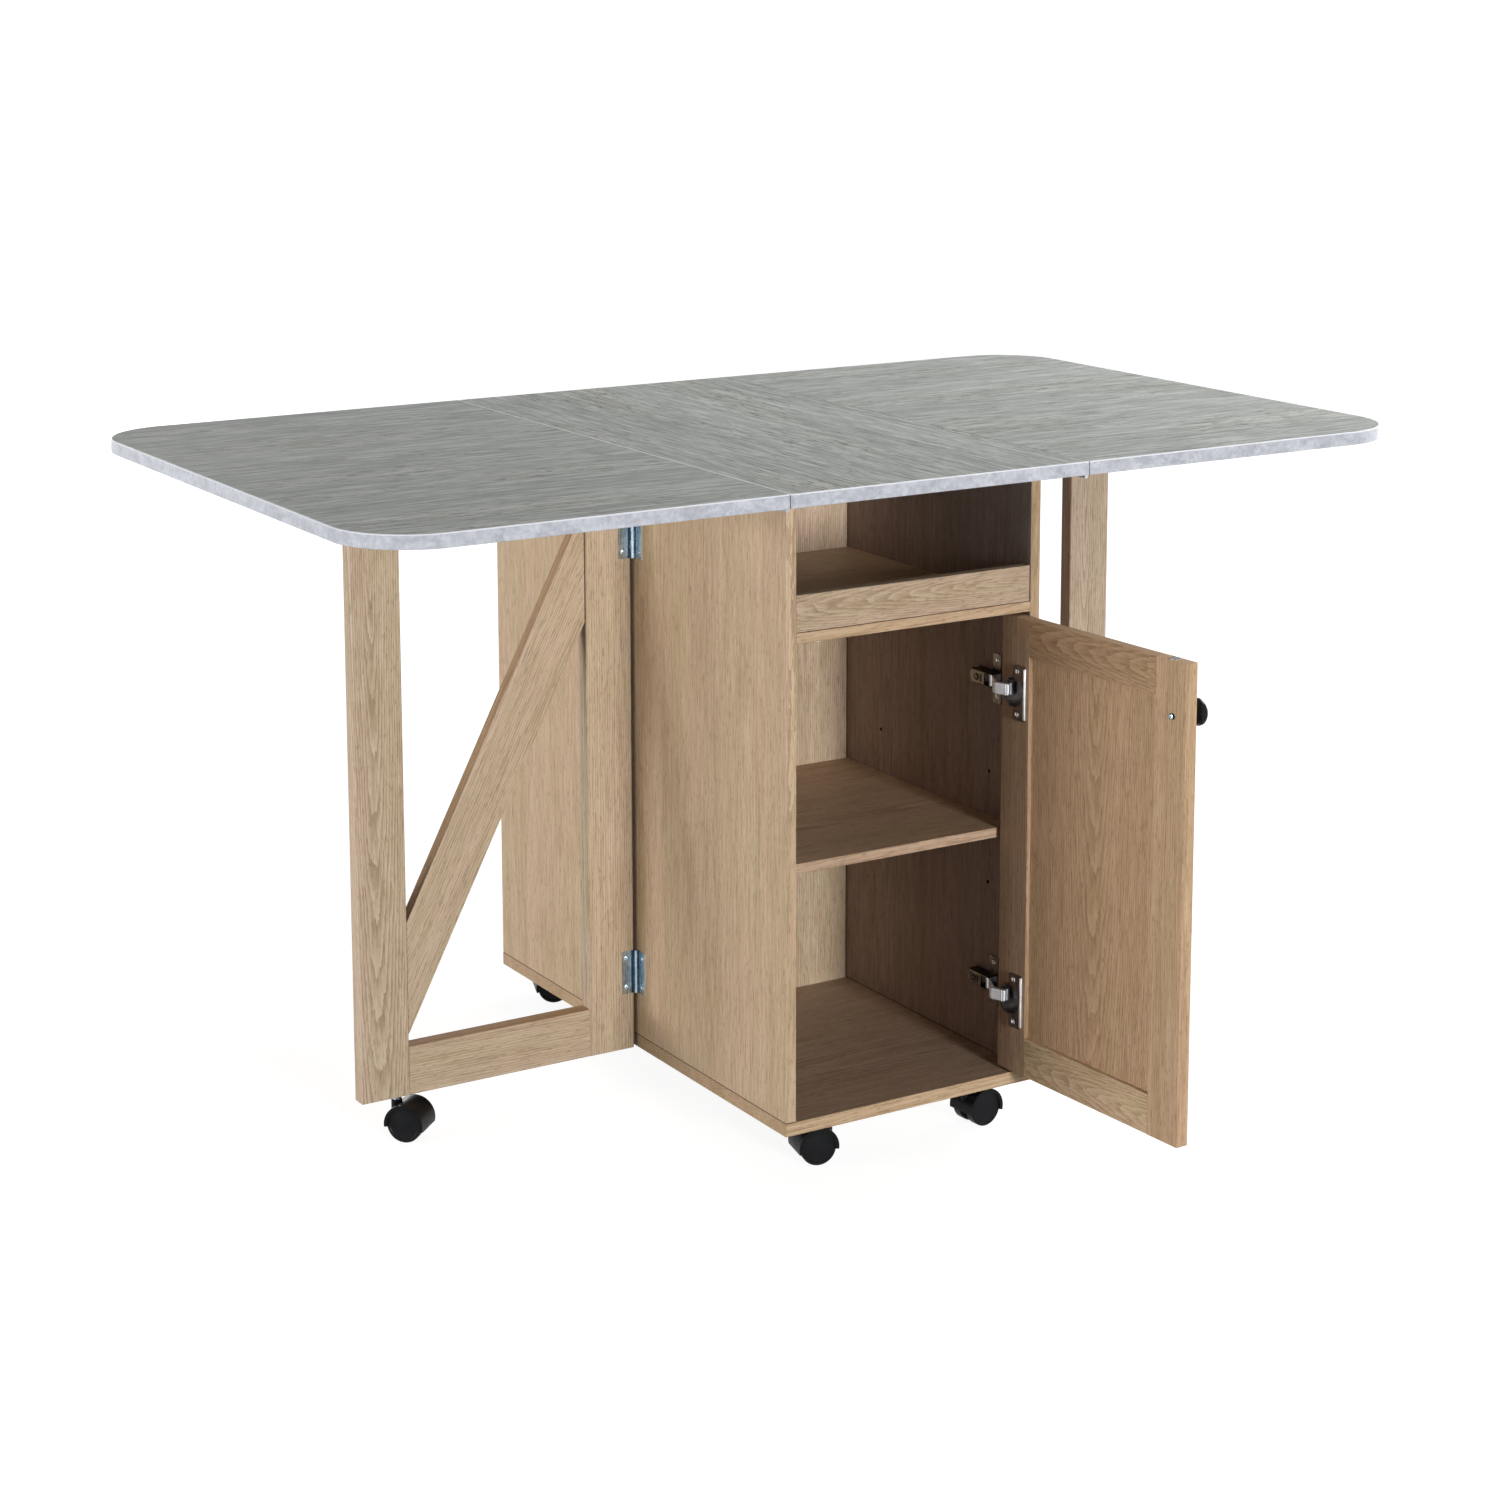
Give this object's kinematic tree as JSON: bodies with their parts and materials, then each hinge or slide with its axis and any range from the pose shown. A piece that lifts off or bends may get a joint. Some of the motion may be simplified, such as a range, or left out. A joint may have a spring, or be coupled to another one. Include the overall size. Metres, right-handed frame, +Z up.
{
  "type": "kitchen table with storage cabinet",
  "caption": "Drop-leaf gate-leg kitchen table on castors: a storage cabinet with open niche, shelves and inset door carries a fixed top panel and two leaves",
  "frame": {"origin": "on the floor under the middle of the bounding box; the open door moves it towards the front of the cabinet", "axes": "+X along the table to the right as seen from the door side, +Y to the back, +Z up"},
  "size_m": [1.3, 0.9829, 0.75],
  "materials": {
    "oak_laminate": "pale oak-grain melamine on board, satin",
    "top_laminate": "grey streaked stone-look laminate, satin",
    "edge_band": "pale grey edge band with a bright rounded arris",
    "hinge_strip": "continuous steel hinge, dull",
    "zinc": "zinc plated steel",
    "stem_steel": "plain steel stem",
    "dark_nickel": "dark bright-plated steel",
    "bright_chrome": "bright plated steel",
    "black_knob": "black moulded knob",
    "white_plastic": "white moulded plastic",
    "pad_plastic": "dark moulded pad",
    "castor_black": "black moulded nylon, satin",
    "castor_wheel": "black moulded nylon wheel"
  },
  "bodies": {
    "cabinet": {"bottom_board": "oak_laminate", "left_side_panel": "oak_laminate", "right_side_panel": "oak_laminate", "centre_partition": "oak_laminate", "niche_shelf": "oak_laminate", "niche_lip_rail": "oak_laminate", "front_middle_shelf": "oak_laminate", "rear_upper_shelf": "oak_laminate", "rear_middle_shelf": "oak_laminate", "shelf_pins": "zinc", "centre_top_panel": "top_laminate", "centre_top_edge_bands": "edge_band", "seam_hinge_fixed_wings": "hinge_strip", "leg_hinge_cabinet_wings": "zinc", "door_hinge_plates": "dark_nickel", "door_hinge_arms": "dark_nickel", "door_catch_and_bumper": "white_plastic", "cabinet_castor_plates": "castor_black", "cabinet_screws": "zinc"},
    "left_leaf": {"left_leaf_panel": "top_laminate", "left_leaf_edge_band": "edge_band", "left_leaf_hinge_wing": "hinge_strip", "left_leaf_rest_pad": "pad_plastic"},
    "right_leaf": {"right_leaf_panel": "top_laminate", "right_leaf_edge_band": "edge_band", "right_leaf_hinge_wing": "hinge_strip", "right_leaf_rest_pad": "pad_plastic"},
    "left_leg": {"left_leg_outer_post": "oak_laminate", "left_leg_inner_post": "oak_laminate", "left_leg_bottom_rail": "oak_laminate", "left_leg_brace": "oak_laminate", "left_leg_hinge_wings": "zinc", "left_leg_castor_stem": "stem_steel"},
    "right_leg": {"right_leg_outer_post": "oak_laminate", "right_leg_inner_post": "oak_laminate", "right_leg_bottom_rail": "oak_laminate", "right_leg_brace": "oak_laminate", "right_leg_hinge_wings": "zinc", "right_leg_castor_stem": "stem_steel"},
    "door": {"door_hinge_stile": "oak_laminate", "door_free_stile": "oak_laminate", "door_bottom_rail": "oak_laminate", "door_top_rail": "oak_laminate", "door_panel": "oak_laminate", "door_hinge_cups": "dark_nickel", "door_knob": "black_knob", "door_strike_disc": "white_plastic"},
    "door_links": {"door_hinge_links": "bright_chrome"},
    "castor_front_left_swivel": {"castor_front_left_housing": "castor_black"},
    "castor_front_left_wheels": {"castor_front_left_wheels": "castor_wheel"},
    "castor_front_right_swivel": {"castor_front_right_housing": "castor_black"},
    "castor_front_right_wheels": {"castor_front_right_wheels": "castor_wheel"},
    "castor_rear_left_swivel": {"castor_rear_left_housing": "castor_black"},
    "castor_rear_left_wheels": {"castor_rear_left_wheels": "castor_wheel"},
    "castor_rear_right_swivel": {"castor_rear_right_housing": "castor_black"},
    "castor_rear_right_wheels": {"castor_rear_right_wheels": "castor_wheel"},
    "castor_left_leg_swivel": {"castor_left_leg_housing": "castor_black"},
    "castor_left_leg_wheels": {"castor_left_leg_wheels": "castor_wheel"},
    "castor_right_leg_swivel": {"castor_right_leg_housing": "castor_black"},
    "castor_right_leg_wheels": {"castor_right_leg_wheels": "castor_wheel"}
  },
  "joints": [
    {"name": "left_leaf_lift", "type": "hinge", "parent": "cabinet", "child": "left_leaf", "pos_m": [-0.1885, 0.11145, 0.7325], "axis": [0, 1, 0], "range_deg": [0, 2.5]},
    {"name": "right_leaf_lift", "type": "hinge", "parent": "cabinet", "child": "right_leaf", "pos_m": [0.1885, 0.11145, 0.7325], "axis": [0, -1, 0], "range_deg": [0, 2.5]},
    {"name": "left_leg_fold", "type": "hinge", "parent": "cabinet", "child": "left_leg", "pos_m": [-0.16455, 0.0994, 0.4], "axis": [0, 0, 1], "range_deg": [0, 90]},
    {"name": "right_leg_fold", "type": "hinge", "parent": "cabinet", "child": "right_leg", "pos_m": [0.16455, 0.0994, 0.4], "axis": [0, 0, -1], "range_deg": [0, 90]},
    {"name": "door_swing", "type": "hinge", "parent": "cabinet", "child": "door", "pos_m": [0.1347, -0.2103, 0.322], "axis": [0, 0, 1], "range_deg": [-93.1, 1.9]},
    {"name": "door_link_swing", "type": "hinge", "parent": "cabinet", "child": "door_links", "pos_m": [0.139, -0.16455, 0.322], "axis": [0, 0, 1], "range_deg": [-1, 6.68]},
    {"name": "castor_front_left_swivel_turn", "type": "hinge", "parent": "cabinet", "child": "castor_front_left_swivel", "pos_m": [-0.092, -0.18955, 0.04], "axis": [0, 0, 1], "continuous": true},
    {"name": "castor_front_left_wheel_spin", "type": "hinge", "parent": "castor_front_left_swivel", "child": "castor_front_left_wheels", "pos_m": [-0.10662, -0.18617, 0.02], "axis": [-0.225, -0.9744, 0], "continuous": true},
    {"name": "castor_front_right_swivel_turn", "type": "hinge", "parent": "cabinet", "child": "castor_front_right_swivel", "pos_m": [0.092, -0.18955, 0.04], "axis": [0, 0, 1], "continuous": true},
    {"name": "castor_front_right_wheel_spin", "type": "hinge", "parent": "castor_front_right_swivel", "child": "castor_front_right_wheels", "pos_m": [0.10694, -0.18824, 0.02], "axis": [-0.0872, 0.9962, 0], "continuous": true},
    {"name": "castor_rear_left_swivel_turn", "type": "hinge", "parent": "cabinet", "child": "castor_rear_left_swivel", "pos_m": [-0.092, 0.41245, 0.04], "axis": [0, 0, 1], "continuous": true},
    {"name": "castor_rear_left_wheel_spin", "type": "hinge", "parent": "castor_rear_left_swivel", "child": "castor_rear_left_wheels", "pos_m": [-0.1061, 0.41758, 0.02], "axis": [-0.342, -0.9397, 0], "continuous": true},
    {"name": "castor_rear_right_swivel_turn", "type": "hinge", "parent": "cabinet", "child": "castor_rear_right_swivel", "pos_m": [0.092, 0.41245, 0.04], "axis": [0, 0, 1], "continuous": true},
    {"name": "castor_rear_right_wheel_spin", "type": "hinge", "parent": "castor_rear_right_swivel", "child": "castor_rear_right_wheels", "pos_m": [0.09713, 0.42655, 0.02], "axis": [-0.9397, 0.342, 0], "continuous": true},
    {"name": "castor_left_leg_swivel_turn", "type": "hinge", "parent": "left_leg", "child": "castor_left_leg_swivel", "pos_m": [-0.4605, 0.11145, 0.04], "axis": [0, 0, 1], "continuous": true},
    {"name": "castor_left_leg_wheel_spin", "type": "hinge", "parent": "castor_left_leg_swivel", "child": "castor_left_leg_wheels", "pos_m": [-0.45046, 0.1003, 0.02], "axis": [0.7431, 0.6691, 0], "continuous": true},
    {"name": "castor_right_leg_swivel_turn", "type": "hinge", "parent": "right_leg", "child": "castor_right_leg_swivel", "pos_m": [0.4605, 0.11145, 0.04], "axis": [0, 0, 1], "continuous": true},
    {"name": "castor_right_leg_wheel_spin", "type": "hinge", "parent": "castor_right_leg_swivel", "child": "castor_right_leg_wheels", "pos_m": [0.45662, 0.09696, 0.02], "axis": [0.9659, -0.2588, 0], "continuous": true}
  ],
  "couplings": [
    {"joint": "door_link_swing", "follows": "door_swing", "ratio": -0.061029}
  ]
}
